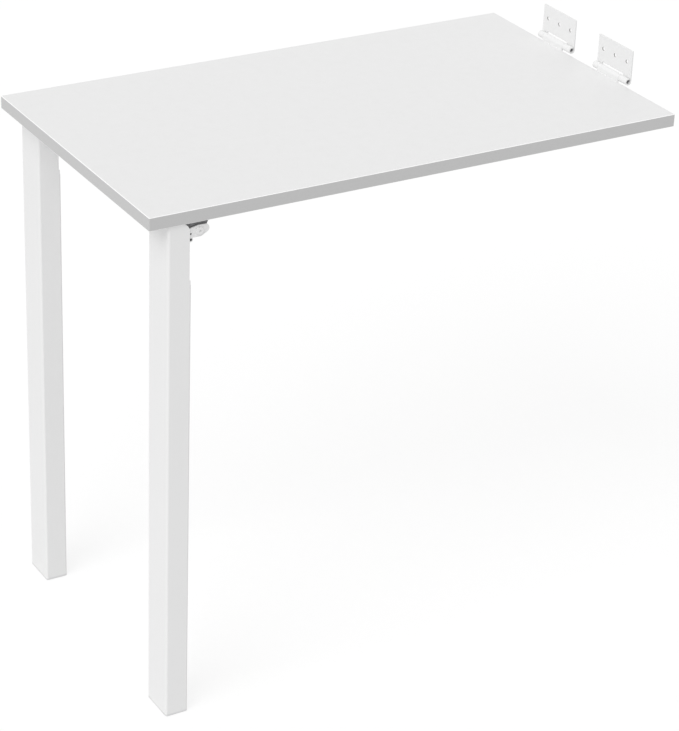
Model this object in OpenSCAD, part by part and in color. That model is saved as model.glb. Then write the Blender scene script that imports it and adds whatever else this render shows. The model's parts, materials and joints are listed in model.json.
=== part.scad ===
// Wall-mounted folding table: a banded board on two wall hinges, with two folding tube legs.
// The back of the wall leaves is the plane y = 0, the floor is z = 0, and the room is towards -y.

/* [Table top] */
// Length of the top, from its wall edge to its free end
top_length = 800; // [770:5:1200]
// Width of the top
top_width = 450; // [400:5:700]
// Height of the top's upper face above the floor
top_height = 750; // [640:5:765]
// Thickness of the top
top_thick = 18; // [15:0.5:28]
// Thickness of the edge banding
band_thick = 1; // [0.5:0.1:2]
// Rounding of the banding's long edges
band_round = 0.8; // [0.2:0.1:1.5]

/* [Wall hinges] */
// Distance between the centres of the hinges
hinge_spacing = 138; // [110:2:220]
// Width of each hinge
hinge_width = 80; // [74:1:100]
// Thickness of the hinge leaves
leaf_thick = 2; // [1.5:0.1:3]
// Height of the wall leaf above the hinge axis
leaf_rise = 45; // [38:1:70]
// Rounding of the wall leaf's upper corners
leaf_round = 1.5; // [0.5:0.5:6]
// Reach of the table leaf under the top
flange_reach = 42; // [38:1:60]
// Height of the hinge axis above the top's upper face
axis_rise = 5; // [4:0.5:9]
// Outer diameter of the knuckles
knuckle_d = 10; // [9:0.5:13]
// Diameter of the hinge pin
hinge_pin_d = 6; // [3:0.5:6]
// Length of the wall leaf's shorter knuckle
knuckle_short = 12; // [8:1:16]
// Length of the wall leaf's longer knuckle
knuckle_long = 18; // [10:1:22]
// Depth of the hinge pin's ends inside the knuckles
pin_recess = 3; // [0:0.5:5]
// Gap between the end faces of neighbouring knuckles
knuckle_gap = 0.3; // [0.2:0.1:1]
// Clearance of the wall leaf's cut-out over the middle knuckle
cutout_clear = 1.5; // [0.5:0.1:3]
// Diameter of the wall screw holes
wall_hole_d = 5.5; // [4:0.1:7]
// Distance between neighbouring wall screw holes
wall_hole_pitch = 28; // [20:1:30]
// Height of the wall screw holes above the hinge axis
wall_hole_rise = 26; // [20:1:30]
// Distance between the flange screws across the hinge
flange_pitch_x = 30; // [20:1:34]
// Distance between the flange screws along the flange
flange_pitch_y = 20; // [14:1:22]
// Distance from the top's wall edge to the nearer flange screws
flange_first = 14; // [10:1:16]

/* [Legs] */
// Width of the leg tube, across the table
leg_width = 55; // [50:1:70]
// Depth of the leg tube, along the table
leg_depth = 33; // [28:1:45]
// Wall thickness of the leg tube
leg_wall = 1.5; // [1:0.1:2]
// Outer corner radius of the leg tube
leg_round = 3; // [2.5:0.5:6]
// Distance from the top's long side to the leg
side_inset = 3; // [0:1:40]
// Distance from the top's free end to the leg
end_inset = 28; // [20:1:60]
// Gap between the leg's upper end and the underside of the top
end_gap = 0.3; // [0.2:0.1:1]
// Length of the mouth cut into the inner wall at the leg's upper end
mouth_length = 87; // [60:1:100]
// Height over which the mouth runs out at its lower end
mouth_runout = 7; // [4:1:20]
// Rounding of the side walls beside the mouth
mouth_round = 12; // [8:1:14]
// Thickness of the foot cap under the tube
foot_thick = 3; // [2:0.5:8]
// Height of the foot cap's plug inside the tube
plug_height = 18; // [10:1:40]
// Wall of the plastic plugs
plug_wall = 2; // [1.5:0.5:4]
// Gap between a plug and the tube
plug_gap = 0.2; // [0.1:0.05:0.4]
// Depth of the plug in the leg's upper end
top_plug_depth = 14; // [8:1:20]

/* [Leg brackets] */
// Sheet thickness of both halves of the leg bracket
sheet = 2; // [1.5:0.1:2.5]
// Distance of the pivot from the leg's inner face
pivot_out = 11.5; // [10.5:0.5:16]
// Distance of the pivot below the top
pivot_drop = 14.5; // [14.5:0.5:20]
// Diameter of the pivot bolt
pivot_d = 6; // [5:0.5:8]
// Radius of the ear round the pivot
ear_hub_r = 8; // [7.5:0.5:10]
// Radius of the ear's nose
ear_nose_r = 5.8; // [4:0.1:5.8]
// Distance of the nose beyond the pivot
ear_nose_out = 7.8; // [3:0.1:8]
// Height of the nose above the pivot
ear_nose_up = 2; // [0:0.1:2]
// Depth of the ear's upper edge below the top, where it leaves the tube
neck_top = 10; // [9:0.5:12]
// Depth of the ear's lower edge below the top, where it leaves the tube
neck_low = 22; // [16:0.5:23]
// Diameter of the hole in the ear's neck
neck_hole_d = 2.6; // [2:0.2:3]
// Depth of the hole in the ear's neck below the top
neck_hole_drop = 16.8; // [15:0.1:17]
// Reach of the leg bracket's arms into the tube
arm_depth = 14; // [10:0.5:15]
// Length of the leg bracket beyond the mouth's lower end
web_length = 40; // [38:1:60]
// Gap between the leg bracket and the tube's side walls
arm_gap = 0.3; // [0.2:0.1:0.6]
// Distance from the mouth's lower end to the nearer bracket screw
bolt_first = 12; // [9:1:14]
// Distance between the leg bracket's screws
bolt_pitch = 18; // [12:1:20]
// Diameter of the stop pin
stop_d = 3.4; // [3:0.2:5]
// Distance of the stop pin behind the leg's inner face
stop_in = 0.8; // [0:0.1:2]
// Depth of the stop pin below the top
stop_drop = 24.6; // [23:0.1:28]
// Gap between the stop pin and its seat
stop_gap = 0.3; // [0.2:0.1:0.6]
// Thickness of the friction washers
washer_thick = 0.8; // [0.5:0.1:1.5]
// Outer diameter of the friction washers
washer_d = 14; // [12:0.5:15]
// Gap at each face of a friction washer
washer_gap = 0.1; // [0.05:0.01:0.2]
// Radius of the base bracket round the pivot
cheek_hub_r = 7.5; // [7:0.5:9]
// Reach of the base bracket's cheeks into the leg
cheek_in = 6; // [4:0.5:8]
// Reach of the base bracket's cheeks beyond the leg's inner face
cheek_out = 26; // [24:0.5:30]
// Reach of the base plate beyond the leg's inner face
plate_out = 78; // [70:1:100]
// Distance between the base plate's screws across the table
plate_pitch_x = 26; // [18:1:28]
// Distance between the base plate's screws along the table
plate_pitch_y = 26; // [18:1:30]
// Distance from the base plate's end to the nearer screws
plate_edge = 10; // [8:1:14]

/* [Fasteners] */
// Diameter of the wood screws and bracket screws
screw_d = 4; // [3:0.1:5]
// Diameter of the screw heads
screw_head_d = 8; // [7:0.1:9]
// Height of the screw heads
screw_head_h = 2.2; // [1.5:0.1:3]
// Depth of the wood screws in the top
screw_bite = 11; // [8:0.5:12]
// Length of the screws' points
screw_point = 3; // [2:0.5:4]
// Radial clearance of a screw in its hole
hole_clear = 0.2; // [0.1:0.05:0.4]
// Radial clearance of a screw in the board and of a bolt in its nut
thread_clear = 0.05; // [0.02:0.01:0.1]
// Radial clearance of a pin that turns in its hole
running_clear = 0.05; // [0.02:0.01:0.1]
// Diameter of the pivot bolt's head
bolt_head_d = 11; // [9:0.5:13]
// Height of the pivot bolt's head
bolt_head_h = 2; // [1.5:0.1:4]
// Width across the flats of the pivot nut
nut_flats = 10; // [9:0.5:13]
// Height of the pivot nut
nut_h = 6; // [4:0.5:8]
// Length of the pivot bolt beyond its nut
bolt_tail = 1; // [0.5:0.5:4]

/* [Hidden] */
$fn = 48;

left = -1;
right = 1;
cut = 1;

// Levels and edges of the top
under_z = top_height - top_thick;
knuckle_r = knuckle_d / 2;
edge_y = -knuckle_d;
end_y = edge_y - top_length;
band_r = min(band_round, band_thick * 0.9);

// Hinge axis and the places along it, seen from the hinge's centre
axis_y = -knuckle_r;
axis_z = top_height + axis_rise;
middle_from = -hinge_width / 2 + knuckle_short + knuckle_gap;
middle_to = hinge_width / 2 - knuckle_long - knuckle_gap;
flange_mid = (middle_from + middle_to) / 2;
flange_z = -axis_rise - top_thick;

// Leg, seen from the middle of its inner face at the underside of the top
leg_x = top_width / 2 - side_inset - leg_width / 2;
leg_y = end_y + end_inset + leg_depth;
tube_length = under_z - end_gap - foot_thick;
inner_round = leg_round - leg_wall;
// The mouth takes the tube's rounded corners off with its inner wall
mouth_recess = leg_round;

// Half widths of what is nested in the tube, from the outside to the inside
tube_half = leg_width / 2 - leg_wall;
arm_half = tube_half - arm_gap;
washer_half = arm_half - sheet - washer_gap;
cheek_half = washer_half - washer_thick - washer_gap;
arm_length = mouth_length + web_length;
arm_round = inner_round + 0.5;

// Stop pin and the heel of the cheek, along the stop pin's path round the pivot
stop_from_pivot = [-stop_in - pivot_out, pivot_drop - stop_drop];
stop_dir = [-stop_from_pivot[1], stop_from_pivot[0]] / norm(stop_from_pivot);
heel_r = 2.6;
heel_at = [-stop_in, -stop_drop] - stop_dir * (stop_d / 2 + stop_gap + heel_r);
stop_lobe_r = stop_d / 2 + 1.5;

white = "#f4f4f4";
laminate = "#ebeaea";
banding = "#c9c9c9";
dark = "#2e2e30";
steel = "#b8bbbe";

// Extrudes an outline drawn in y and z along x, from x = from to x = to
module along_x(from, to)
    translate([from, 0, 0])
        rotate([90, 0, 90])
            linear_extrude(to - from)
                children();

module rod_x(from, to, r, at = [0, 0])
    translate([from, at[0], at[1]])
        rotate([0, 90, 0])
            cylinder(r = r, h = to - from);

module rounded_rect(w, h, r) {
    square([w - 2 * r, h], center = true);
    square([w, h - 2 * r], center = true);
    for (x = [-1, 1], y = [-1, 1])
        translate([x * (w / 2 - r), y * (h / 2 - r)])
            circle(r);
}

// Pan-head screw, pointing up, with the bearing face of its head at z = 0
module screw(length) {
    difference() {
        union() {
            translate([0, 0, -screw_head_h / 2])
                cylinder(d = screw_head_d, h = screw_head_h / 2);
            translate([0, 0, -screw_head_h])
                cylinder(d1 = screw_head_d * 0.7, d2 = screw_head_d, h = screw_head_h / 2);
            cylinder(d = screw_d, h = length - screw_point);
            translate([0, 0, length - screw_point])
                cylinder(d1 = screw_d, d2 = screw_d / 4, h = screw_point);
        }
        for (a = [0, 90])
            rotate([0, 0, a])
                translate([-screw_d / 2, -0.5, -screw_head_h - cut])
                    cube([screw_d, 1, screw_head_h * 0.6 + cut]);
    }
}

// Puts a piece of a hinge, drawn round the hinge axis, at its side
module at_hinge(side)
    translate([side * hinge_spacing / 2, axis_y, axis_z])
        children();

// Puts a piece of a leg, drawn from its inner face at the underside of the top, at its side
module at_leg(side)
    translate([side * leg_x, leg_y, under_z])
        mirror([side < 0 ? 1 : 0, 0, 0])
            children();

module at_flange_screws()
    for (x = [-1, 1], y = [0, 1])
        translate([flange_mid + x * flange_pitch_x / 2,
                   -knuckle_r - flange_first - y * flange_pitch_y, flange_z])
            children();

module at_plate_screws()
    for (x = [-1, 1], y = [0, 1])
        translate([x * plate_pitch_x / 2, plate_out - plate_edge - y * plate_pitch_y, 0])
            children();

module at_bracket_screws()
    for (i = [0, 1])
        translate([0, 0, -mouth_length - bolt_first - i * bolt_pitch])
            rotate([90, 0, 0])
                children();

module pilot()
    cylinder(d = screw_d + 2 * thread_clear, h = screw_bite + cut / 2);

module band_profile() {
    difference() {
        square([band_thick, top_thick]);
        translate([band_thick - band_r, -cut])
            square([band_r + cut, band_r + cut]);
        translate([band_thick - band_r, top_thick - band_r])
            square([band_r + cut, band_r + cut]);
    }
    intersection() {
        square([band_thick, top_thick]);
        for (z = [band_r, top_thick - band_r])
            translate([band_thick - band_r, z])
                circle(band_r, $fn = 24);
    }
}

module top_panel() {
    color(laminate)
        difference() {
            translate([-top_width / 2 + band_thick, end_y + band_thick, under_z])
                cube([top_width - 2 * band_thick, top_length - 2 * band_thick, top_thick]);
            for (side = [left, right]) {
                at_hinge(side)
                    at_flange_screws()
                        pilot();
                at_leg(side)
                    at_plate_screws()
                        pilot();
            }
        }
}

module side_band(side) {
    color(banding)
        mirror([side < 0 ? 1 : 0, 0, 0])
            translate([top_width / 2 - band_thick, edge_y, under_z])
                rotate([90, 0, 0])
                    linear_extrude(top_length)
                        band_profile();
}

module edge_band_left() side_band(left);

module edge_band_right() side_band(right);

module end_band()
    linear_extrude(top_width - 2 * band_thick)
        band_profile();

module edge_band_end() {
    color(banding)
        translate([top_width / 2 - band_thick, end_y + band_thick, under_z])
            rotate([90, 0, -90])
                end_band();
}

module edge_band_wall() {
    color(banding)
        translate([-top_width / 2 + band_thick, edge_y - band_thick, under_z])
            rotate([90, 0, 90])
                end_band();
}

module wall_leaf(side) {
    half = hinge_width / 2;
    color(white)
        at_hinge(side)
            difference() {
                union() {
                    translate([0, knuckle_r, leaf_rise / 2])
                        rotate([90, 0, 0])
                            linear_extrude(leaf_thick)
                                difference() {
                                    rounded_rect(hinge_width, leaf_rise, leaf_round);
                                    translate([-half, -leaf_rise / 2 - cut])
                                        square([hinge_width, 0.01 + cut]);
                                }
                    rod_x(-half, middle_from - knuckle_gap, knuckle_r);
                    rod_x(middle_to + knuckle_gap, half, knuckle_r);
                }
                translate([middle_from - knuckle_gap, 0, -knuckle_r - cut])
                    cube([middle_to - middle_from + 2 * knuckle_gap, knuckle_d,
                          knuckle_d + cutout_clear + cut]);
                rod_x(-half - cut, half + cut, hinge_pin_d / 2 + running_clear);
                for (i = [-1, 0, 1])
                    translate([i * wall_hole_pitch, knuckle_r + cut, wall_hole_rise])
                        rotate([90, 0, 0])
                            cylinder(d = wall_hole_d, h = leaf_thick + 2 * cut);
            }
}

module hinge_pin(side) {
    half = hinge_width / 2;
    color(steel)
        at_hinge(side)
            rod_x(-half + pin_recess, half - pin_recess, hinge_pin_d / 2);
}

module table_leaf(side) {
    color(white)
        at_hinge(side)
            difference() {
                union() {
                    rod_x(middle_from, middle_to, knuckle_r);
                    along_x(middle_from, middle_to)
                        translate([-knuckle_r, flange_z - leaf_thick])
                            square([leaf_thick, leaf_thick - flange_z]);
                    translate([middle_from, -knuckle_r - flange_reach, flange_z - leaf_thick])
                        cube([middle_to - middle_from, flange_reach + leaf_thick, leaf_thick]);
                }
                rod_x(middle_from - cut, middle_to + cut, hinge_pin_d / 2 + running_clear);
                at_flange_screws()
                    translate([0, 0, -leaf_thick - cut])
                        cylinder(d = screw_d + 2 * hole_clear, h = leaf_thick + 2 * cut);
            }
}

module table_leaf_screws(side) {
    color(steel)
        at_hinge(side)
            at_flange_screws()
                translate([0, 0, -leaf_thick])
                    screw(leaf_thick + screw_bite);
}

module base_bracket(side) {
    color(dark)
        at_leg(side)
            difference() {
                union() {
                    translate([-cheek_half, -cheek_in, -sheet])
                        cube([2 * cheek_half, cheek_in + plate_out, sheet]);
                    for (x = [-cheek_half, cheek_half - sheet])
                        along_x(x, x + sheet)
                            hull() {
                                translate([-cheek_in, -sheet])
                                    square([cheek_in + cheek_out, sheet]);
                                translate([pivot_out, -pivot_drop])
                                    circle(cheek_hub_r, $fn = 32);
                                translate(heel_at)
                                    circle(heel_r, $fn = 32);
                            }
                }
                rod_x(-leg_width, leg_width, pivot_d / 2 + running_clear, [pivot_out, -pivot_drop]);
                rod_x(-leg_width, leg_width, stop_d / 2 + stop_gap, [-stop_in, -stop_drop]);
                at_plate_screws()
                    translate([0, 0, -sheet - cut])
                        cylinder(d = screw_d + 2 * hole_clear, h = sheet + 2 * cut);
            }
}

module base_screws(side) {
    color(steel)
        at_leg(side)
            at_plate_screws()
                translate([0, 0, -sheet])
                    screw(sheet + screw_bite);
}

module leg_tube(side) {
    color(white)
        at_leg(side)
            difference() {
                translate([0, -leg_depth / 2, -end_gap - tube_length])
                    linear_extrude(tube_length)
                        difference() {
                            rounded_rect(leg_width, leg_depth, leg_round);
                            rounded_rect(2 * tube_half, leg_depth - 2 * leg_wall, inner_round);
                        }
                along_x(-leg_width, leg_width)
                    polygon([[0, -mouth_length], [-mouth_recess, -mouth_length + mouth_runout],
                             [-mouth_recess, cut], [cut, cut], [cut, -mouth_length]]);
                translate([0, -mouth_recess - mouth_round, -end_gap - mouth_round])
                    difference() {
                        translate([-leg_width, 0, 0])
                            cube([2 * leg_width, mouth_round + cut, mouth_round + cut]);
                        rod_x(-leg_width - cut, leg_width + cut, mouth_round);
                    }
                at_bracket_screws()
                    translate([0, 0, -cut])
                        cylinder(d = screw_d + 2 * hole_clear, h = leg_wall + 2 * cut);
            }
}

module foot_cap(side) {
    lip = foot_thick / 4;
    color(white)
        at_leg(side)
            translate([0, -leg_depth / 2, -under_z]) {
                linear_extrude(lip)
                    rounded_rect(leg_width - 2 * lip, leg_depth - 2 * lip, leg_round - lip);
                translate([0, 0, lip])
                    linear_extrude(foot_thick - lip)
                        rounded_rect(leg_width, leg_depth, leg_round);
                translate([0, 0, foot_thick])
                    plug(plug_height);
            }
}

// Hollow plug that fits inside the tube, open upwards
module plug(height)
    linear_extrude(height)
        difference() {
            rounded_rect(2 * (tube_half - plug_gap), leg_depth - 2 * (leg_wall + plug_gap), inner_round);
            rounded_rect(2 * (tube_half - plug_gap - plug_wall),
                         leg_depth - 2 * (leg_wall + plug_gap + plug_wall), inner_round / 2);
        }

module top_plug(side) {
    front = arm_depth + plug_gap;
    back = leg_depth - leg_wall - plug_gap;
    half = tube_half - plug_gap;
    color(dark)
        at_leg(side)
            translate([0, 0, -end_gap - top_plug_depth])
                difference() {
                    translate([0, -back, 0])
                        intersection() {
                            translate([-half, 0, 0])
                                cube([2 * half, back - front, top_plug_depth]);
                            translate([0, back / 2, 0])
                                linear_extrude(top_plug_depth)
                                    rounded_rect(2 * half, back, inner_round);
                        }
                    translate([-half + plug_wall, -back + plug_wall, -cut])
                        cube([2 * (half - plug_wall), back - front - 2 * plug_wall,
                              top_plug_depth - plug_wall + cut]);
                }
}

module leg_bracket(side) {
    web_top = mouth_length + sheet;
    color(white)
        at_leg(side)
            difference() {
                union() {
                    for (x = [-arm_half, arm_half - sheet])
                        along_x(x, x + sheet) {
                            hull() {
                                translate([pivot_out, -pivot_drop])
                                    circle(ear_hub_r, $fn = 32);
                                translate([pivot_out + ear_nose_out, -pivot_drop + ear_nose_up])
                                    circle(ear_nose_r, $fn = 32);
                                translate([-arm_depth / 2, -neck_low])
                                    square([arm_depth / 2 - mouth_recess, neck_low - neck_top]);
                            }
                            translate([-arm_depth, -arm_length])
                                square([arm_depth - leg_wall - arm_round, arm_length - neck_top]);
                            translate([-arm_depth, -web_top])
                                square([arm_depth - mouth_recess, web_top - neck_top]);
                            hull() {
                                translate([-stop_in, -stop_drop])
                                    circle(stop_lobe_r, $fn = 32);
                                translate([-arm_depth / 2, -stop_drop])
                                    circle(stop_lobe_r, $fn = 32);
                            }
                        }
                    translate([0, 0, -arm_length])
                        linear_extrude(arm_length - web_top)
                            difference() {
                                translate([0, -leg_wall - leg_depth / 2])
                                    rounded_rect(2 * arm_half, leg_depth, arm_round);
                                translate([0, -leg_wall - sheet - leg_depth / 2])
                                    rounded_rect(2 * (arm_half - sheet), leg_depth, arm_round / 2);
                                translate([-leg_width, -arm_depth - 2 * leg_depth])
                                    square([2 * leg_width, 2 * leg_depth]);
                            }
                }
                rod_x(-leg_width, leg_width, pivot_d / 2 + running_clear, [pivot_out, -pivot_drop]);
                rod_x(-leg_width, leg_width, stop_d / 2 + thread_clear, [-stop_in, -stop_drop]);
                rod_x(-leg_width, leg_width, neck_hole_d / 2, [-stop_in, -neck_hole_drop]);
                at_bracket_screws()
                    translate([0, 0, -cut])
                        cylinder(d = screw_d + 2 * thread_clear, h = leg_wall + sheet + 2 * cut);
            }
}

module bracket_screws(side) {
    color(white)
        at_leg(side)
            at_bracket_screws()
                screw(leg_wall + sheet + screw_point + 2);
}

module stop_pin(side) {
    color(dark)
        at_leg(side)
            rod_x(-arm_half, arm_half, stop_d / 2, [-stop_in, -stop_drop]);
}

module friction_washers(side) {
    color(dark)
        at_leg(side)
            for (x = [-washer_half, washer_half - washer_thick])
                difference() {
                    rod_x(x, x + washer_thick, washer_d / 2, [pivot_out, -pivot_drop]);
                    rod_x(x - cut, x + washer_thick + cut, pivot_d / 2 + running_clear,
                          [pivot_out, -pivot_drop]);
                }
}

module pivot_bolt(side) {
    color(white)
        at_leg(side)
            translate([0, pivot_out, -pivot_drop])
                difference() {
                    union() {
                        rod_x(-arm_half - nut_h - bolt_tail, arm_half, pivot_d / 2);
                        rod_x(arm_half, arm_half + bolt_head_h / 2, bolt_head_d / 2);
                        translate([arm_half + bolt_head_h / 2, 0, 0])
                            rotate([0, 90, 0])
                                cylinder(d1 = bolt_head_d, d2 = bolt_head_d * 0.6, h = bolt_head_h / 2);
                    }
                    translate([arm_half + bolt_head_h * 0.2, 0, 0])
                        rotate([0, 90, 0])
                            cylinder(d = pivot_d * 0.6, h = bolt_head_h, $fn = 6);
                }
}

module pivot_nut(side) {
    color(steel)
        at_leg(side)
            translate([-arm_half - nut_h, pivot_out, -pivot_drop])
                rotate([0, 90, 0])
                    difference() {
                        cylinder(d = nut_flats / cos(30), h = nut_h, $fn = 6);
                        translate([0, 0, -cut])
                            cylinder(d = pivot_d + 2 * thread_clear, h = nut_h + 2 * cut);
                    }
}

top_panel();
edge_band_end();
edge_band_wall();
edge_band_left();
edge_band_right();
wall_leaf(left);  // wall_leaf_left
wall_leaf(right);  // wall_leaf_right
hinge_pin(left);  // hinge_pin_left
hinge_pin(right);  // hinge_pin_right
table_leaf(left);  // table_leaf_left
table_leaf(right);  // table_leaf_right
table_leaf_screws(left);  // table_leaf_screws_left
table_leaf_screws(right);  // table_leaf_screws_right
base_bracket(left);  // base_bracket_left
base_bracket(right);  // base_bracket_right
base_screws(left);  // base_screws_left
base_screws(right);  // base_screws_right
leg_tube(left);  // leg_tube_left
leg_tube(right);  // leg_tube_right
foot_cap(left);  // foot_cap_left
foot_cap(right);  // foot_cap_right
top_plug(left);  // top_plug_left
top_plug(right);  // top_plug_right
leg_bracket(left);  // leg_bracket_left
leg_bracket(right);  // leg_bracket_right
bracket_screws(left);  // bracket_screws_left
bracket_screws(right);  // bracket_screws_right
stop_pin(left);  // stop_pin_left
stop_pin(right);  // stop_pin_right
friction_washers(left);  // friction_washers_left
friction_washers(right);  // friction_washers_right
pivot_bolt(left);  // pivot_bolt_left
pivot_bolt(right);  // pivot_bolt_right
pivot_nut(left);  // pivot_nut_left
pivot_nut(right);  // pivot_nut_right
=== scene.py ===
import json
from math import pi, radians

import bmesh
import bpy
from mathutils import Matrix, Vector


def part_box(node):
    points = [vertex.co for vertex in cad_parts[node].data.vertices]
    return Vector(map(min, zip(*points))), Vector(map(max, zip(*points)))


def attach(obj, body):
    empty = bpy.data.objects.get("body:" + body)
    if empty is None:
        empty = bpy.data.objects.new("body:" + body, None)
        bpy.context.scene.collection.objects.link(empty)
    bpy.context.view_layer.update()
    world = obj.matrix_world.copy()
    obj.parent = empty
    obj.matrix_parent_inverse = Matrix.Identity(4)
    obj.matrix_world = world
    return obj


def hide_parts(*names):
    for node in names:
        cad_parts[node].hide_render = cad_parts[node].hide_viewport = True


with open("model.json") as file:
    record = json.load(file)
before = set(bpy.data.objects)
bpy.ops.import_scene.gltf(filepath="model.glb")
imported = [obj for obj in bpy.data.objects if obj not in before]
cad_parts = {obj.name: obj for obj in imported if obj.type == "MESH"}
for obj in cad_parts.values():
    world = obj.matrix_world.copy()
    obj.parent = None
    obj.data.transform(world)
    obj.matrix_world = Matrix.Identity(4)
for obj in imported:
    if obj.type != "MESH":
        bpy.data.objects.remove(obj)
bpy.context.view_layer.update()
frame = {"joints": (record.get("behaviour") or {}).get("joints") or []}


# ---- Board --------------------------------------------------------------------------------------
# The top is a board of pressed wood chips, faced on both sides with white melamine that is pressed
# on under a finely grained plate. Its edges are sawn square and eased by a hair, so that a thin
# line shows beside the edging.
mm = 0.001
axes = (Vector((1, 0, 0)), Vector((0, 1, 0)), Vector((0, 0, 1)))
tiny = 0.01 * mm
# A direction counts as an axis's over the first share of it, and as across it under the second
mostly, hardly = 0.9, 0.1
# Edges over the first angle are eased, and those over the second stay sharp in the shading
ease_angle, sharp_angle = radians(35), radians(50)
board_ease = 0.15 * mm
board_corner_ease = 0.05 * mm


def only(*pieces):
    """Selects these pieces and nothing else, in object mode, with the last one active."""
    if bpy.context.mode != "OBJECT":
        bpy.ops.object.mode_set(mode="OBJECT")
    bpy.ops.object.select_all(action="DESELECT")
    for piece in pieces:
        piece.select_set(True)
        bpy.context.view_layer.objects.active = piece


def named(name):
    """Names the new piece and puts its place into its mesh."""
    piece = bpy.context.object
    piece.name = piece.data.name = name
    bpy.ops.object.transform_apply(location=True, rotation=True, scale=True)
    return piece


def block(name, low, high):
    """A block between two corners."""
    only()
    low, high = Vector(low), Vector(high)
    bpy.ops.mesh.primitive_cube_add(size=1, location=(low + high) / 2, scale=high - low)
    return named(name)


def anywhere(middle, direction):
    """Takes all that pick finds."""
    return True


def towards(direction):
    """Makes pick take the faces that look this way."""
    return lambda middle, facing: facing.dot(direction) > mostly


def upright(middle, run):
    """Takes the edges that run up or down."""
    return abs(run.z) > mostly


def pick(piece, kind, wanted):
    """Opens the piece with its faces, edges or vertices selected that wanted takes, by their
    middle and their direction, which is a face's normal or an edge's run."""
    only(piece)
    bpy.ops.object.mode_set(mode="EDIT")
    bpy.ops.mesh.select_mode(type=kind)
    bpy.ops.mesh.select_all(action="DESELECT")
    mesh = bmesh.from_edit_mesh(piece.data)
    mesh.normal_update()
    if kind == "FACE":
        found = [f for f in mesh.faces if wanted(f.calc_center_median(), f.normal)]
    elif kind == "EDGE":
        found = [e for e in mesh.edges
                 if wanted((e.verts[0].co + e.verts[1].co) / 2,
                           (e.verts[1].co - e.verts[0].co).normalized())]
    else:
        found = [v for v in mesh.verts if wanted(v.co, v.normal)]
    for part in found:
        part.select_set(True)
    mesh.select_flush_mode()
    bmesh.update_edit_mesh(piece.data)


def finished(piece, finish, ease):
    """Eases the sharp edges, shades the rounds smooth and the flats flat, and coats the piece."""
    only(piece)
    eased = piece.modifiers.new("eased", "BEVEL")
    eased.width, eased.segments = ease, 2
    # Its overlap limit follows the shortest edge, and would leave nearly every edge sharp
    eased.use_clamp_overlap = False
    eased.limit_method, eased.angle_limit = "ANGLE", ease_angle
    bpy.ops.object.modifier_apply(modifier=eased.name)
    bpy.ops.object.shade_smooth_by_angle(angle=sharp_angle)
    shading = piece.modifiers.new("shading", "WEIGHTED_NORMAL")
    shading.keep_sharp = True
    bpy.ops.object.modifier_apply(modifier=shading.name)
    piece.data.materials.clear()
    piece.data.materials.append(finish)


def put(tree, kind, sockets=None, **settings):
    """Adds a node, and fills its sockets with values or with other nodes' outputs."""
    node = tree.nodes.new(kind)
    for name, value in settings.items():
        setattr(node, name, value)
    for socket, value in (sockets or {}).items():
        if isinstance(value, bpy.types.NodeSocket):
            tree.links.new(value, node.inputs[socket])
        else:
            node.inputs[socket].default_value = value
    return node


def sums(tree, operation, *values):
    """The output of a Math node."""
    return put(tree, "ShaderNodeMath", dict(enumerate(values)), operation=operation).outputs[0]


def blended(tree, share, under, over):
    """The output of a node that lays one colour over another by a mask."""
    return put(tree, "ShaderNodeMix", {0: share, 6: under, 7: over}, data_type="RGBA").outputs[2]


def spot(tree):
    """The place on the piece, in Object coordinates."""
    return put(tree, "ShaderNodeTexCoord").outputs["Object"]


def noise(tree, place, scale, detail, roughness=0.5):
    """An even noise around 0.5, with this many waves to the metre."""
    return put(tree, "ShaderNodeTexNoise", {"Vector": place, "Scale": scale, "Detail": detail,
                                            "Roughness": roughness}).outputs[0]


def ramp(tree, value, start, end, top=1.0):
    """Goes from 0 to the top while the value goes from start to end."""
    return put(tree, "ShaderNodeMapRange", {0: value, 1: start, 2: end, 4: top}).outputs[0]


def laid_in(tree, mask, colour):
    """Lays a colour into a finish by a mask, over its grain and under its dust."""
    tree.links.new(blended(tree, mask, tree.nodes["grain"].outputs["Colour"], colour),
                   tree.nodes["dusted colour"].inputs[6])


def effect(name, inputs, outputs):
    """A node group with these named inputs and outputs, and its two ends."""
    tree = bpy.data.node_groups.new(name, "ShaderNodeTree")
    for label, kind, value in inputs:
        socket = tree.interface.new_socket(label, in_out="INPUT", socket_type="NodeSocket" + kind)
        socket.default_value = value
    for label, kind in outputs:
        tree.interface.new_socket(label, in_out="OUTPUT", socket_type="NodeSocket" + kind)
    return tree, tree.nodes.new("NodeGroupInput").outputs, tree.nodes.new("NodeGroupOutput").inputs


def tone(*levels):
    """A colour from its red, green and blue as a screen shows them, 0 to 255."""
    share = [level / 255 for level in levels]
    return (*[s / 12.92 if s < 0.04045 else ((s + 0.055) / 1.055) ** 2.4 for s in share], 1)


# Fine grain: a close relief, and cloudy changes of tone and gloss that follow it
skin, given, gives = effect(
    "skin",
    [("Colour", "Color", tone(235, 235, 235)), ("Cloud", "Float", 0.02), ("Grain", "Float", 900.0),
     ("Roughness", "Float", 0.4), ("Gloss Change", "Float", 0.05)],
    [("Colour", "Color"), ("Roughness", "Float"), ("Height", "Float")])
place = spot(skin)
cloud = noise(skin, place, scale=7.0, detail=3.0)
close = noise(skin, place, scale=given["Grain"], detail=2.0)
# Both noises lie around 0.5, so what is left of their sum lies around 0
drift = sums(skin, "ADD", sums(skin, "MULTIPLY", cloud, 1.5), sums(skin, "MULTIPLY", close, 0.5))
drift = sums(skin, "SUBTRACT", drift, 1.0)
lighter = sums(skin, "MULTIPLY_ADD", drift, given["Cloud"], 1.0)
skin.links.new(put(skin, "ShaderNodeHueSaturation", {"Value": lighter, "Color": given["Colour"]})
               .outputs[0], gives["Colour"])
skin.links.new(sums(skin, "MULTIPLY_ADD", drift, given["Gloss Change"], given["Roughness"]),
               gives["Roughness"])
skin.links.new(close, gives["Height"])

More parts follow.
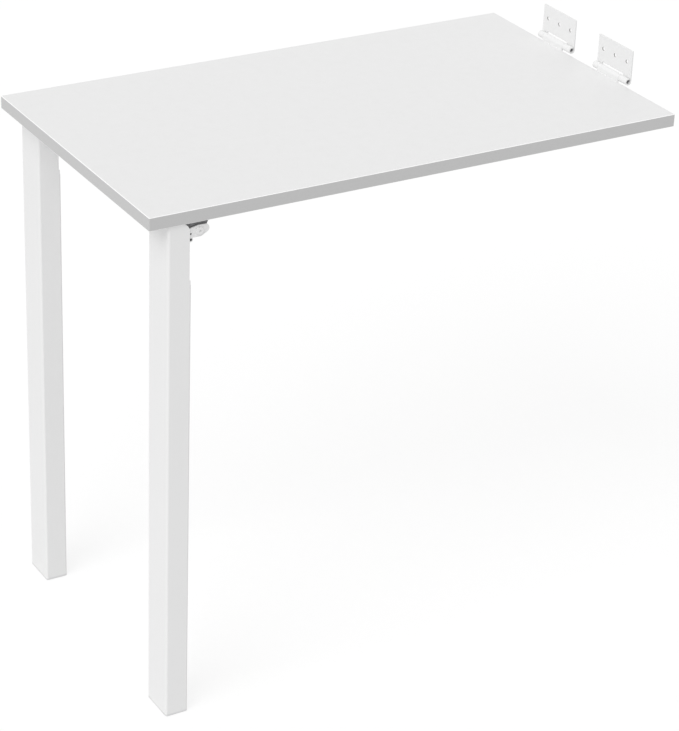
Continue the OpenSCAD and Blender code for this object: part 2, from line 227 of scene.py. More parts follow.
# Dust: thin and patchy, on what faces up
dust, given, gives = effect("dust", [("Amount", "Float", 0.2)], [("Mask", "Float")])
where = put(dust, "ShaderNodeTexCoord")
upward = put(dust, "ShaderNodeSeparateXYZ", {0: where.outputs["Normal"]}).outputs["Z"]
lying = ramp(dust, upward, start=0.5, end=1.0)
patch = noise(dust, where.outputs["Object"], scale=60.0, detail=6.0, roughness=0.7)
patch = ramp(dust, patch, start=0.45, end=0.75)
dust.links.new(sums(dust, "MULTIPLY", sums(dust, "MULTIPLY", lying, patch), given["Amount"]),
               gives["Mask"])
dust_colour = tone(176, 172, 166)


def coating(name, colour, roughness, grain, relief, cloud=0.02, gloss_change=0.05, dusty=0.0,
            **constants):
    """A finish with the fine grain all over, dusted above. More can be laid into its colour."""
    finish = bpy.data.materials.new(name)
    finish.use_nodes = True
    tree = finish.node_tree
    shader = tree.nodes["Principled BSDF"]
    for socket, value in constants.items():
        shader.inputs[socket.replace("_", " ")].default_value = value
    grained = put(tree, "ShaderNodeGroup", node_tree=skin)
    for socket, value in (("Colour", colour), ("Cloud", cloud), ("Grain", grain),
                          ("Roughness", roughness), ("Gloss Change", gloss_change)):
        grained.inputs[socket].default_value = value
    dusted = put(tree, "ShaderNodeGroup", node_tree=dust)
    dusted.inputs["Amount"].default_value = dusty
    final = blended(tree, dusted.outputs[0], grained.outputs["Colour"], dust_colour)
    final.node.name = "dusted colour"
    bump = put(tree, "ShaderNodeBump", {"Height": grained.outputs["Height"], "Distance": relief})
    bump.name = "relief"
    grained.name = "grain"
    tree.links.new(final, shader.inputs["Base Color"])
    tree.links.new(grained.outputs["Roughness"], shader.inputs["Roughness"])
    tree.links.new(bump.outputs[0], shader.inputs["Normal"])
    return finish


board_low, board_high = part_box("top_panel")
board = block("board", board_low, board_high)
pick(board, "EDGE", lambda middle, run: abs(run.z) < hardly)
bpy.ops.mesh.bevel(offset=board_ease, segments=2, affect="EDGES")
melamine = coating("melamine", tone(235, 235, 235), roughness=0.42, grain=700, relief=0.012 * mm,
                   cloud=0.012, dusty=0.04, Specular_IOR_Level=0.4)
finished(board, melamine, board_corner_ease)
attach(board, "table_top")
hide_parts("top_panel")


# ---- Edging -------------------------------------------------------------------------------------
# Light grey plastic edging, 1 mm thick, is glued to the four edges, the end strips between the
# long ones. A cutter trims its long edges and the board's corners to a small round, and the
# scraper that follows it along the edges leaves the plastic paler there.
edging_round = 0.8 * mm
edging_ease = 0.06 * mm
scraped_fade = 0.3 * mm
scraped_colour = tone(254, 254, 254)
board_middle = (board_low.z + board_high.z) / 2
board_half = (board_high.z - board_low.z) / 2

edging_plastic = coating("edging_plastic", tone(198, 198, 198), roughness=0.45, grain=1300,
                         relief=0.01 * mm, cloud=0.02, dusty=0.03, Specular_IOR_Level=0.35)
tree = edging_plastic.node_tree
height = put(tree, "ShaderNodeSeparateXYZ", {0: spot(tree)}).outputs["Z"]
from_middle = sums(tree, "ABSOLUTE", sums(tree, "SUBTRACT", height, board_middle))
scraped = ramp(tree, from_middle, start=board_half - edging_round,
               end=board_half - edging_round + scraped_fade)
laid_in(tree, scraped, scraped_colour)

for node, outward in (("edge_band_left", -axes[0]), ("edge_band_right", axes[0]),
                      ("edge_band_end", -axes[1]), ("edge_band_wall", axes[1])):
    low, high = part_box(node)
    outside = max(low.dot(outward), high.dot(outward))
    strip = block(node.replace("edge_band", "edging"), low, high)
    pick(strip, "EDGE", lambda middle, run: (abs(run.z) < hardly or abs(outward.x) > mostly)
         and abs(middle.dot(outward) - outside) < tiny)
    bpy.ops.mesh.bevel(offset=edging_round, segments=5, affect="EDGES")
    finished(strip, edging_plastic, edging_ease)
    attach(strip, "table_top")
    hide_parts(node)


# ---- Wall leaves --------------------------------------------------------------------------------
# Each wall leaf is 2 mm steel sheet. It is slotted over the middle knuckle, rolled round the pin
# at both lower ends and powder coated white. Its three screw holes are cut through it, and their
# walls are given a darker grey steel colour, which is painted shade inside the holes.
hinge_axis = Vector(frame["joints"][0]["pos_m"])
leaf_low, leaf_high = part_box("wall_leaf_left")
middle_low, middle_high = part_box("table_leaf_left")
knuckle_radius = -hinge_axis.y
bore_radius = 3.05 * mm
leaf_sheet = 2 * mm
knuckle_gap = 0.3 * mm
slot_from, slot_to = middle_low.x - knuckle_gap, middle_high.x + knuckle_gap
slot_over_knuckle = 1.5 * mm
slot_top = hinge_axis.z + knuckle_radius + slot_over_knuckle
slot_corner = 0.8 * mm
leaf_corner = 1.5 * mm
leaf_ease = 0.22 * mm
roll_turn = radians(303)
roll_steps = 30
wall_hole_radius = 2.75 * mm
wall_hole_pitch = 28 * mm
wall_hole_height = hinge_axis.z + 26 * mm
wall_hole_margin = 0.1 * mm
rub_colour = tone(206, 206, 204)


def rod(name, start, end, radius, corners=48):
    """A round rod between two points."""
    only()
    start, end = Vector(start), Vector(end)
    run = end - start
    bpy.ops.mesh.primitive_cylinder_add(vertices=corners, radius=radius, depth=run.length,
                                        location=(start + end) / 2,
                                        rotation=run.to_track_quat("Z", "Y").to_euler())
    return named(name)


def slice_across(piece, place, normal, wanted=anywhere):
    """Scores a straight line across the piece, through the faces that are wanted."""
    pick(piece, "FACE", wanted)
    bpy.ops.mesh.bisect(plane_co=place, plane_no=normal)


def cut_with(piece, tool, operation="DIFFERENCE"):
    """Cuts the piece with a tool, or joins the tool to it, and takes the tool away."""
    only(piece)
    cutting = piece.modifiers.new("cutting", "BOOLEAN")
    cutting.operation, cutting.object, cutting.solver = operation, tool, "EXACT"
    bpy.ops.object.modifier_apply(modifier=cutting.name)
    bpy.data.objects.remove(tool)


def copied(piece, name, move=(0, 0, 0)):
    """A copy of the piece with its own mesh, moved."""
    only(piece)
    bpy.ops.object.duplicate()
    twin = named(name)
    pick(twin, "VERT", anywhere)
    bpy.ops.transform.translate(value=move)
    only(twin)
    return twin


def powder_coat(name, colour, roughness, rub=0.5):
    """Powder coat with its orange peel, thinner and a little greyer along sharp edges."""
    finish = coating(name, colour, roughness, grain=420, relief=0.03 * mm, cloud=0.015,
                     gloss_change=0.06, dusty=0.06, Specular_IOR_Level=0.45)
    tree = finish.node_tree
    edges = put(tree, "ShaderNodeGroup", node_tree=rubbed_edge)
    edges.inputs["Amount"].default_value = rub
    laid_in(tree, edges.outputs[0], rub_colour)
    return finish


# Rubbed edge: a narrow broken line wherever the surface turns sharply
rubbed_edge, given, gives = effect("rubbed_edge", [("Reach", "Float", 0.35 * mm),
                                                   ("Amount", "Float", 0.5)], [("Mask", "Float")])
turned = put(rubbed_edge, "ShaderNodeBevel", {"Radius": given["Reach"]}, samples=4).outputs[0]
straight = put(rubbed_edge, "ShaderNodeNewGeometry").outputs["Normal"]
along = put(rubbed_edge, "ShaderNodeVectorMath", {0: turned, 1: straight},
            operation="DOT_PRODUCT").outputs["Value"]
sharp = ramp(rubbed_edge, along, start=0.98, end=0.85)
broken = noise(rubbed_edge, spot(rubbed_edge), scale=150.0, detail=4.0)
broken = ramp(rubbed_edge, broken, start=0.4, end=0.7)
rubbed_edge.links.new(sums(rubbed_edge, "MULTIPLY", sums(rubbed_edge, "MULTIPLY", sharp, broken),
                           given["Amount"]), gives["Mask"])

hinge_coat = powder_coat("hinge_coat", tone(236, 236, 236), roughness=0.38)
# The screw holes' walls take this darker grey steel, as painted shade inside the holes.
hole_walls_painted_shade = coating("hole_walls_painted_shade", tone(164, 163, 161), roughness=0.55, grain=900,
                     relief=0.02 * mm, cloud=0.15, gloss_change=0.1, Metallic=0.5)

leaf = block("leaf_wall_left", (leaf_low.x, -leaf_sheet, hinge_axis.z),
             (leaf_high.x, 0, leaf_high.z))
slice_across(leaf, (slot_from, 0, 0), axes[0])
slice_across(leaf, (slot_to, 0, 0), axes[0])
slice_across(leaf, (0, 0, slot_top), axes[2])
pick(leaf, "FACE", lambda middle, facing: slot_from + tiny < middle.x < slot_to - tiny
     and middle.z < slot_top - tiny)
bpy.ops.mesh.delete(type="FACE")
pick(leaf, "EDGE", lambda middle, run: abs(run.y) < hardly
     and slot_from - tiny < middle.x < slot_to + tiny and middle.z < slot_top + tiny
     and (abs(middle.x - slot_from) < tiny or abs(middle.x - slot_to) < tiny
          or abs(middle.z - slot_top) < tiny))
bpy.ops.mesh.bridge_edge_loops()
pick(leaf, "VERT", lambda middle, facing: middle.z < hinge_axis.z + tiny
     and middle.y < -leaf_sheet + tiny)
bpy.ops.transform.translate(value=(0, leaf_sheet + bore_radius - knuckle_radius, 0))
pick(leaf, "FACE", lambda middle, facing: facing.z < -mostly and middle.z < hinge_axis.z + tiny)
bpy.ops.mesh.spin(steps=roll_steps, angle=roll_turn, center=hinge_axis, axis=axes[0])
pick(leaf, "EDGE", lambda middle, run: abs(run.y) > mostly and middle.z > leaf_high.z - tiny
     and (middle.x < leaf_low.x + tiny or middle.x > leaf_high.x - tiny))
bpy.ops.mesh.bevel(offset=leaf_corner, segments=5, affect="EDGES")
pick(leaf, "EDGE", lambda middle, run: abs(run.y) > mostly and abs(middle.z - slot_top) < tiny
     and (abs(middle.x - slot_from) < tiny or abs(middle.x - slot_to) < tiny))
bpy.ops.mesh.bevel(offset=slot_corner, segments=4, affect="EDGES")
pick(leaf, "FACE", anywhere)
bpy.ops.mesh.normals_make_consistent(inside=False)
leaf_centre = (leaf_low.x + leaf_high.x) / 2
wall_holes = [Vector((leaf_centre + step * wall_hole_pitch, -leaf_sheet / 2, wall_hole_height))
              for step in (-1, 0, 1)]
for hole in wall_holes:
    cut_with(leaf, rod("drill", hole - axes[1] * 3 * leaf_sheet, hole + axes[1] * leaf_sheet,
                       wall_hole_radius))
hinge_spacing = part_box("wall_leaf_right")[0].x - leaf_low.x
for side, piece, shift in (("right", copied(leaf, "leaf_wall_right", (hinge_spacing, 0, 0)),
                            hinge_spacing), ("left", leaf, 0)):
    finished(piece, hinge_coat, leaf_ease)
    piece.data.materials.append(hole_walls_painted_shade)
    # The faces round each hole's wall take the darker grey: painted shade.
    pick(piece, "FACE", lambda middle, facing: abs(facing.y) < hardly
         and any((middle - hole - axes[0] * shift).length < wall_hole_radius + wall_hole_margin
                 for hole in wall_holes))
    piece.active_material_index = 1
    bpy.ops.object.material_slot_assign()
    only(piece)
    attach(piece, "wall_leaves")
    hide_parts(f"wall_leaf_{side}")


# ---- Hinge pins ---------------------------------------------------------------------------------
# Each pin is plain steel wire, drawn and cut to length, with its ends chamfered and a cropping
# mark in them. It sits a little short inside the knuckles, so their open ends lie in shade, and
# its steel is coloured dark grey as painted shade there too.
pin_chamfer = 0.5 * mm
pin_radius = 3 * mm
pin_ease = 0.05 * mm
crop_share = 0.5
crop_depth = 0.3 * mm
# The die's lines, in waves to the metre along and across the wire
die_lines = (20, 4000, 4000)

# The steel is coloured dark grey: painted shade for the knuckles' open ends.
pin_steel_painted_shade = coating("pin_steel_painted_shade", tone(96, 96, 98), roughness=0.35, grain=800,
                      relief=0.01 * mm, cloud=0.08, gloss_change=0.15, Metallic=1.0)
tree = pin_steel_painted_shade.node_tree
stretched = put(tree, "ShaderNodeMapping", {0: spot(tree), 3: die_lines}).outputs[0]
tree.links.new(noise(tree, stretched, scale=1.0, detail=2.0),
               tree.nodes["relief"].inputs["Height"])


def cropped_rod(name, start, end, radius, chamfer):
    """A rod with chamfered ends and a shallow cropping mark in each."""
    piece = rod(name, start, end, radius)
    along = (Vector(end) - Vector(start)).normalized()
    pick(piece, "FACE", lambda middle, facing: abs(facing.dot(along)) > mostly)
    bpy.ops.mesh.bevel(offset=chamfer, segments=1, affect="EDGES")
    for outward in (-along, along):
        pick(piece, "FACE", towards(outward))
        bpy.ops.mesh.inset(thickness=(radius - chamfer) * crop_share)
        bpy.ops.transform.translate(value=-outward * crop_depth)
    return piece


for side in ("left", "right"):
    low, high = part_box(f"hinge_pin_{side}")
    pin = cropped_rod(f"pin_{side}", (low.x, hinge_axis.y, hinge_axis.z),
                      (high.x, hinge_axis.y, hinge_axis.z), pin_radius, pin_chamfer)
    finished(pin, pin_steel_painted_shade, pin_ease)
    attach(pin, "wall_leaves")
    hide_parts(f"hinge_pin_{side}")


# ---- Table leaves -------------------------------------------------------------------------------
# Each table leaf is the same sheet, rolled to the middle knuckle above, bent down the board's edge
# and folded under the board, where four screws hold it. It is coated like the wall leaf.
bend_inside = 0.5 * mm
web_back = -2 * knuckle_radius
flange_top = board_low.z
flange_corner = 3 * mm
screw_hole_radius = 2.2 * mm
flange_screw_half = 15 * mm
flange_screw_rows = (web_back - 14 * mm, web_back - 34 * mm)
flange_middle = (middle_low.x + middle_high.x) / 2
flange_screws = [Vector((flange_middle + side * flange_screw_half, row, flange_top - leaf_sheet))
                 for side in (-1, 1) for row in flange_screw_rows]


def push_out(*way):
    """Pushes the selected faces out this way, with new walls behind them."""
    bpy.ops.mesh.extrude_region_move(TRANSFORM_OT_translate={"value": way})


web = block("leaf_table_left", (middle_low.x, web_back, flange_top + bend_inside),
            (middle_high.x, web_back + leaf_sheet, hinge_axis.z))
pick(web, "VERT", lambda middle, facing: middle.z > hinge_axis.z - tiny
     and middle.y > web_back + tiny)
bpy.ops.transform.translate(value=(0, knuckle_radius - bore_radius - leaf_sheet, 0))
pick(web, "FACE", towards(axes[2]))
bpy.ops.mesh.spin(steps=roll_steps, angle=roll_turn, center=hinge_axis, axis=axes[0])
pick(web, "FACE", lambda middle, facing: facing.z < -mostly
     and abs(middle.z - flange_top - bend_inside) < tiny)
bpy.ops.mesh.spin(steps=8, angle=pi / 2, axis=axes[0],
                  center=(0, web_back - bend_inside, flange_top + bend_inside))
pick(web, "FACE", lambda middle, facing: facing.y < -mostly
     and abs(middle.y - web_back + bend_inside) < tiny)
push_out(0, middle_low.y - web_back + bend_inside, 0)
pick(web, "FACE", anywhere)
bpy.ops.mesh.normals_make_consistent(inside=False)
pick(web, "EDGE", lambda middle, run: upright(middle, run) and middle.y < middle_low.y + tiny)
bpy.ops.mesh.bevel(offset=flange_corner, segments=6, affect="EDGES")
for place in flange_screws:
    cut_with(web, rod("punch", place - axes[2] * mm, place + axes[2] * 3 * mm, screw_hole_radius))
for side, piece in (("right", copied(web, "leaf_table_right", (hinge_spacing, 0, 0))),
                    ("left", web)):
    finished(piece, hinge_coat, leaf_ease)
    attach(piece, "table_top")
    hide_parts(f"table_leaf_{side}")


# ---- Wood screws --------------------------------------------------------------------------------
# Pan-head screws with a cross recess, cold headed from wire and zinc plated, hold the table leaves
# and the base brackets from below. Their thread is hidden in the board.
screw_radius = 2 * mm
head_radius = 4 * mm
head_height = 2.2 * mm
head_dome = 1.5 * mm
recess_length = 4.4 * mm
recess_width = 0.9 * mm
recess_depth = 1.4 * mm
point_length = 3 * mm
wood_screw_length = 13 * mm
screw_ease = 0.08 * mm
recess_taper = 0.6
point_taper = 0.2

zinc_plate = coating("zinc_plate", tone(206, 208, 211), roughness=0.3, grain=500,
                     relief=0.012 * mm, cloud=0.06, gloss_change=0.16, dusty=0.05, Metallic=1.0)
tree = zinc_plate.node_tree
bath = noise(tree, spot(tree), scale=260.0, detail=3.0)
tarnish = ramp(tree, bath, start=0.5, end=0.8, top=0.35)
laid_in(tree, tarnish, tone(182, 176, 160))


def pan_screw(name, length):
    """A pan-head screw that points up, with the bearing face of its head at the origin."""
    piece = rod(name, (0, 0, -head_height), (0, 0, 0), head_radius)
    pick(piece, "FACE", towards(-axes[2]))
    bpy.ops.mesh.bevel(offset=head_dome, segments=5, affect="EDGES")
    pick(piece, "FACE", towards(axes[2]))
    bpy.ops.mesh.inset(thickness=head_radius - screw_radius)
    push_out(0, 0, length - point_length)
    push_out(0, 0, point_length)
    bpy.ops.transform.resize(value=(point_taper, point_taper, 1))
    for reach in ((recess_length, recess_width), (recess_width, recess_length)):
        half = Vector((*reach, 0)) / 2
        driver = block("driver", -half - axes[2] * (head_height + mm),
                       half - axes[2] * (head_height - recess_depth))
        pick(driver, "FACE", towards(axes[2]))
        bpy.ops.transform.resize(value=(recess_taper, recess_taper, 1), center_override=(0, 0, 0))
        cut_with(piece, driver)
    return piece


def set_of(name, master, places):
    """Copies of one fastener, joined to one piece."""
    only(*[copied(master, name, place) for place in places])
    bpy.ops.object.join()
    return named(name)


def mirrored(piece, name):
    """The piece's twin on the table's other side."""
    twin = copied(piece, name)
    pick(twin, "VERT", anywhere)
    bpy.ops.transform.resize(value=(-1, 1, 1), center_override=(0, 0, 0))
    bpy.ops.mesh.flip_normals()
    only(twin)
    return twin


wood_screw = pan_screw("wood_screw", wood_screw_length)
for side, shift in (("left", 0), ("right", hinge_spacing)):
    screws = set_of(f"flange_screws_{side}", wood_screw,
                    [place + axes[0] * shift for place in flange_screws])
    finished(screws, zinc_plate, screw_ease)
    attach(screws, "table_top")
    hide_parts(f"table_leaf_screws_{side}")


# ---- Base brackets ------------------------------------------------------------------------------
# Under the board each leg turns on a base bracket: 2 mm steel sheet with two cheeks folded down
# that carry the pivot and stop the leg, pressed, drilled, coated black, and screwed on with four
# screws.
pivot = Vector(frame["joints"][2]["pos_m"])
tube_low, tube_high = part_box("leg_tube_right")
leg_inner = tube_high.y
base_low, base_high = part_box("base_bracket_right")
base_sheet = 2 * mm
cheek_length = 32 * mm
cheek_hub = 7.5 * mm
heel_radius = 2.6 * mm
heel_back, heel_drop = 3.719 * mm, 21.045 * mm
heel = Vector((pivot.x, leg_inner - heel_back, board_low.z - heel_drop))
pivot_hole = 3.05 * mm
stop_back, stop_drop = 0.8 * mm, 24.6 * mm
stop_pin = Vector((pivot.x, leg_inner - stop_back, board_low.z - stop_drop))
stop_seat = 2 * mm
base_corner = 5 * mm
base_screw_half = 13 * mm
base_screw_rows = (base_high.y - 10 * mm, base_high.y - 36 * mm)
bracket_ease = 0.25 * mm
drill_reach = 30 * mm

black_coat = powder_coat("black_coat", tone(124, 124, 126), roughness=0.45, rub=0.35)


def across(middle, low_x, high_x):
    """The two ends of a line across the leg through a point, this far from the point."""
    return middle + axes[0] * low_x, middle + axes[0] * high_x


def taut_outline(name, *parts):
    """One plate whose outline runs tight round all the parts."""
    only(*parts)
    bpy.ops.object.join()
    piece = named(name)
    pick(piece, "VERT", anywhere)
    bpy.ops.mesh.convex_hull()
    bpy.ops.mesh.select_all(action="SELECT")
    bpy.ops.mesh.dissolve_limited(angle_limit=radians(0.5))
    bpy.ops.mesh.select_all(action="SELECT")
    bpy.ops.mesh.normals_make_consistent(inside=False)
    only(piece)
    return piece


base = block("base_right", (base_low.x, base_low.y, base_high.z - base_sheet), base_high)
pick(base, "EDGE", lambda middle, run: upright(middle, run) and middle.y > base_high.y - tiny)
bpy.ops.mesh.bevel(offset=base_corner, segments=6, affect="EDGES")
cheek_outside = base_high.x - pivot.x
for low_x, high_x in ((cheek_outside - base_sheet, cheek_outside),
                      (-cheek_outside, base_sheet - cheek_outside)):
    cheek = taut_outline(
        "cheek",
        block("fold", (pivot.x + low_x, base_low.y, base_high.z - base_sheet),
              (pivot.x + high_x, base_low.y + cheek_length, base_high.z)),
        rod("heel", *across(heel, low_x, high_x), heel_radius, corners=64),
        rod("hub", *across(pivot, low_x, high_x), cheek_hub, corners=64))
    cut_with(base, cheek, "UNION")
for middle, radius in ((pivot, pivot_hole), (stop_pin, stop_seat)):
    cut_with(base, rod("drill", *across(middle, -drill_reach, drill_reach), radius))
base_screws = [Vector((pivot.x + side * base_screw_half, row, base_high.z - base_sheet))
               for side in (-1, 1) for row in base_screw_rows]
for place in base_screws:
    cut_with(base, rod("drill", place - axes[2] * mm, place + axes[2] * 3 * mm, screw_hole_radius))
held = set_of("base_screws_under_right", wood_screw, base_screws)
for side, piece, screws in (("left", mirrored(base, "base_left"),
                             mirrored(held, "base_screws_under_left")), ("right", base, held)):
    finished(piece, black_coat, bracket_ease)
    finished(screws, zinc_plate, screw_ease)
    for part, slot, node in ((piece, "bracket_black", "base_bracket"),
                             (screws, "screw_zinc", "base_screws")):
        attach(part, "table_top")
        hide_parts(f"{node}_{side}")


# ---- Leg tubes ----------------------------------------------------------------------------------
# Each leg is a 55 by 33 mm steel tube with a 1.5 mm wall. At the top its inner wall is cut away
# with its rounded corners, so that the bracket can fold out, and it is powder coated white.
tube_flat_half = 24.5 * mm
tube_round = tube_high.x - pivot.x - tube_flat_half
tube_wall = 1.5 * mm
tube_ease = 0.2 * mm
mouth_edge = leg_inner - tube_round
mouth_end = board_low.z - 87 * mm
mouth_run = 7 * mm
mouth_corner = 12 * mm
bracket_screws = [Vector((pivot.x, leg_inner, mouth_end - drop)) for drop in (12 * mm, 30 * mm)]

leg_coat = powder_coat("leg_coat", tone(238, 238, 238), roughness=0.36)

tube = block("tube_right", tube_low, tube_high)
pick(tube, "EDGE", upright)
bpy.ops.mesh.bevel(offset=tube_round, segments=8, affect="EDGES")
pick(tube, "FACE", lambda middle, facing: abs(facing.z) > mostly)
bpy.ops.mesh.delete(type="FACE")
slice_across(tube, (0, 0, mouth_end), axes[2])
slice_across(tube, (0, 0, mouth_end + mouth_run), axes[2])


def opened(middle):
    """Whether a place on the tube is on the part of it that the mouth takes off."""
    return middle.y > mouth_edge + tiny and middle.z > mouth_end + tiny


slice_across(tube, (0, mouth_edge, mouth_end + mouth_run), (0, mouth_run, tube_round),
             lambda middle, facing: opened(middle) and middle.z < mouth_end + mouth_run - tiny)
pick(tube, "FACE", lambda middle, facing: opened(middle)
     and middle.z - mouth_end - mouth_run
     > (mouth_edge - middle.y) * mouth_run / tube_round + tiny)
bpy.ops.mesh.delete(type="FACE")
pick(tube, "VERT", lambda middle, facing: abs(middle.y - mouth_edge) < tiny
     and middle.z > tube_high.z - tiny)
bpy.ops.mesh.bevel(offset=mouth_corner, segments=12, affect="VERTICES")
only(tube)
wall = tube.modifiers.new("wall", "SOLIDIFY")
wall.thickness, wall.offset, wall.use_even_offset = tube_wall, -1, True
bpy.ops.object.modifier_apply(modifier=wall.name)
for place in bracket_screws:
    cut_with(tube, rod("drill", place - axes[1] * 3 * mm, place + axes[1] * mm, screw_hole_radius))
for side, piece in (("left", mirrored(tube, "tube_left")), ("right", tube)):
    finished(piece, leg_coat, tube_ease)
    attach(piece, f"{side}_leg")
    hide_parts(f"leg_tube_{side}")


# ---- Foot caps and top plugs --------------------------------------------------------------------
# A white moulded cap with a hollow plug closes the foot of each tube, and a black one its upper
# end beside the bracket. Both are pressed in, and the moulds leave a fine matt texture.
cap_thick = 3 * mm
cap_lip = 0.75 * mm
plug_wall = 2 * mm
plug_play = 0.2 * mm
dish_rim = 1.2 * mm
dish_depth = 0.6 * mm
moulded_ease = 0.15 * mm
cap_low, cap_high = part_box("foot_cap_right")
plug_low, plug_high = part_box("top_plug_right")

cap_plastic = coating("cap_plastic", tone(226, 226, 226), roughness=0.5, grain=1600,
                      relief=0.02 * mm, cloud=0.02, Specular_IOR_Level=0.4)
plug_plastic = coating("plug_plastic", tone(44, 44, 45), roughness=0.6, grain=1600,
                       relief=0.02 * mm, cloud=0.05, dusty=0.15, Specular_IOR_Level=0.4)

cap = block("cap_right", cap_low, (cap_high.x, cap_high.y, cap_thick))
pick(cap, "EDGE", upright)
bpy.ops.mesh.bevel(offset=tube_round, segments=8, affect="EDGES")
pick(cap, "FACE", towards(-axes[2]))
bpy.ops.mesh.bevel(offset=cap_lip, segments=3, affect="EDGES")
pick(cap, "FACE", towards(axes[2]))
bpy.ops.mesh.inset(thickness=tube_wall + plug_play)
push_out(0, 0, cap_high.z - cap_thick)
bpy.ops.mesh.inset(thickness=plug_wall)
push_out(0, 0, cap_thick - cap_high.z)

plug = block("plug_right", plug_low, plug_high)
pick(plug, "EDGE", lambda middle, run: upright(middle, run) and middle.y < plug_low.y + tiny)
bpy.ops.mesh.bevel(offset=tube_round - tube_wall, segments=4, affect="EDGES")
pick(plug, "FACE", towards(-axes[2]))
bpy.ops.mesh.inset(thickness=plug_wall)
push_out(0, 0, plug_high.z - plug_low.z - plug_wall)
pick(plug, "FACE", lambda middle, facing: facing.z > mostly and middle.z > plug_high.z - tiny)
bpy.ops.mesh.inset(thickness=dish_rim)
bpy.ops.transform.translate(value=(0, 0, -dish_depth))
for side, foot, top in (("left", mirrored(cap, "cap_left"), mirrored(plug, "plug_left")),
                        ("right", cap, plug)):
    finished(foot, cap_plastic, moulded_ease)
    finished(top, plug_plastic, moulded_ease)
    for part, slot, node in ((foot, "cap_white", "foot_cap"), (top, "plug_black", "top_plug")):
        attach(part, f"{side}_leg")
        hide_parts(f"{node}_{side}")


# ---- Leg brackets -------------------------------------------------------------------------------
# Inside each tube sits its own bracket: two arms of 2 mm sheet joined by a web, which two screws
# hold against the tube's inner wall. The arms end in the egg-shaped ears that carry the pivot
# bolt.
bracket_low, bracket_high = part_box("leg_bracket_right")
arm_outside = bracket_high.x - pivot.x
arm_back = leg_inner - 14 * mm
arm_top = board_low.z - 10 * mm
web_top = mouth_end - base_sheet
web_front = leg_inner - tube_wall
web_round = 2 * mm
# Just under the depth of the strip that it rounds, so that the strip's ends keep a flat side
web_bend = web_round * 0.98
ear_hub = 8 * mm
ear_nose = 5.8 * mm
nose = pivot + Vector((0, 7.8 * mm, 2 * mm))
neck_low = board_low.z - 22 * mm
neck_back = leg_inner - 7 * mm
lobe_radius = 3.2 * mm
lobe_root = stop_pin - axes[1] * 6.2 * mm
stop_pin_radius = 1.7 * mm
neck_hole = Vector((pivot.x, stop_pin.y, board_low.z - 16.8 * mm))
neck_hole_radius = 1.3 * mm
play = 0.05 * mm

bracket_coat = powder_coat("bracket_coat", tone(236, 236, 236), roughness=0.38)


def arm(low_x, high_x):
    """One arm of the leg's bracket, with its ear and the lobe that holds the stop pin."""
    left, right = pivot.x + low_x, pivot.x + high_x
    plate = taut_outline(
        "arm", block("neck", (left, neck_back, neck_low), (right, mouth_edge, arm_top)),
        rod("nose", *across(nose, low_x, high_x), ear_nose, corners=72),
        rod("hub", *across(pivot, low_x, high_x), ear_hub, corners=96))
    lobe = taut_outline(
        "lobe", rod("root", *across(lobe_root, low_x, high_x), lobe_radius),
        rod("lobe", *across(stop_pin, low_x, high_x), lobe_radius))
    cut_with(plate, lobe, "UNION")
    cut_with(plate, block("mouth part", (left, arm_back, web_top), (right, mouth_edge, arm_top)),
             "UNION")
    cut_with(plate, block("web part", (left, arm_back, bracket_low.z),
                          (right, web_front - web_round, web_top)), "UNION")
    return plate


bracket = block("bracket_right", (pivot.x - arm_outside, web_front - web_round, bracket_low.z),
                (pivot.x + arm_outside, web_front, web_top))
pick(bracket, "EDGE", lambda middle, run: upright(middle, run) and middle.y > web_front - tiny)
bpy.ops.mesh.bevel(offset=web_bend, segments=6, affect="EDGES")
cut_with(bracket, arm(arm_outside - base_sheet, arm_outside), "UNION")
cut_with(bracket, arm(-arm_outside, base_sheet - arm_outside), "UNION")
for middle, radius in ((pivot, pivot_hole), (stop_pin, stop_pin_radius + play),
                       (neck_hole, neck_hole_radius)):
    cut_with(bracket, rod("drill", *across(middle, -drill_reach, drill_reach), radius, corners=64))
for place in bracket_screws:
    cut_with(bracket, rod("drill", place - axes[1] * 5 * mm, place, screw_radius + play))
for side, piece in (("left", mirrored(bracket, "bracket_left")), ("right", bracket)):
    finished(piece, bracket_coat, bracket_ease)
    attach(piece, f"{side}_leg")
    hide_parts(f"leg_bracket_{side}")


# ---- Bracket screws -----------------------------------------------------------------------------
# Two short screws of the same head go through the tube's inner wall into the bracket's web. They
# are painted white with the leg.
bracket_screw_length = 8.5 * mm

screw_paint = powder_coat("screw_paint", tone(234, 234, 234), roughness=0.35, rub=0.8)

bracket_screw = pan_screw("bracket_screw", bracket_screw_length)
pick(bracket_screw, "VERT", anywhere)
bpy.ops.transform.rotate(value=-pi / 2, orient_axis="X", center_override=(0, 0, 0))
held = set_of("tube_screws_right", bracket_screw, bracket_screws)
for side, piece in (("left", mirrored(held, "tube_screws_left")), ("right", held)):
    finished(piece, screw_paint, screw_ease)
    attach(piece, f"{side}_leg")
    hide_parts(f"bracket_screws_{side}")


# ---- Stop pins ----------------------------------------------------------------------------------
# A hardened steel pin, blackened in oil, is pressed through the two lobes. The cheeks' seats stop
# it when the leg stands upright.
stop_chamfer = 0.3 * mm
stop_ease = 0.04 * mm

black_oxide = coating("black_oxide", tone(52, 52, 54), roughness=0.4, grain=900,
                      relief=0.01 * mm, cloud=0.15, gloss_change=0.12, Metallic=0.6)

stop = cropped_rod("stop_right", *across(stop_pin, -arm_outside, arm_outside), stop_pin_radius,
                   stop_chamfer)
for side, piece in (("left", mirrored(stop, "stop_left")), ("right", stop)):
    finished(piece, black_oxide, stop_ease)
    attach(piece, f"{side}_leg")
    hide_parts(f"stop_pin_{side}")


# ---- Friction washers ---------------------------------------------------------------------------
# Between each cheek and its arm lies a thin washer of black nylon, stamped from sheet, which the
# bolt clamps so that the leg turns stiffly.
washer_radius = 7 * mm
washer_thick = 0.8 * mm
washer_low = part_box("friction_washers_right")[0].x - pivot.x
washer_ease = 0.1 * mm

nylon = coating("nylon", tone(40, 40, 41), roughness=0.5, grain=1200, relief=0.015 * mm,
                cloud=0.05)

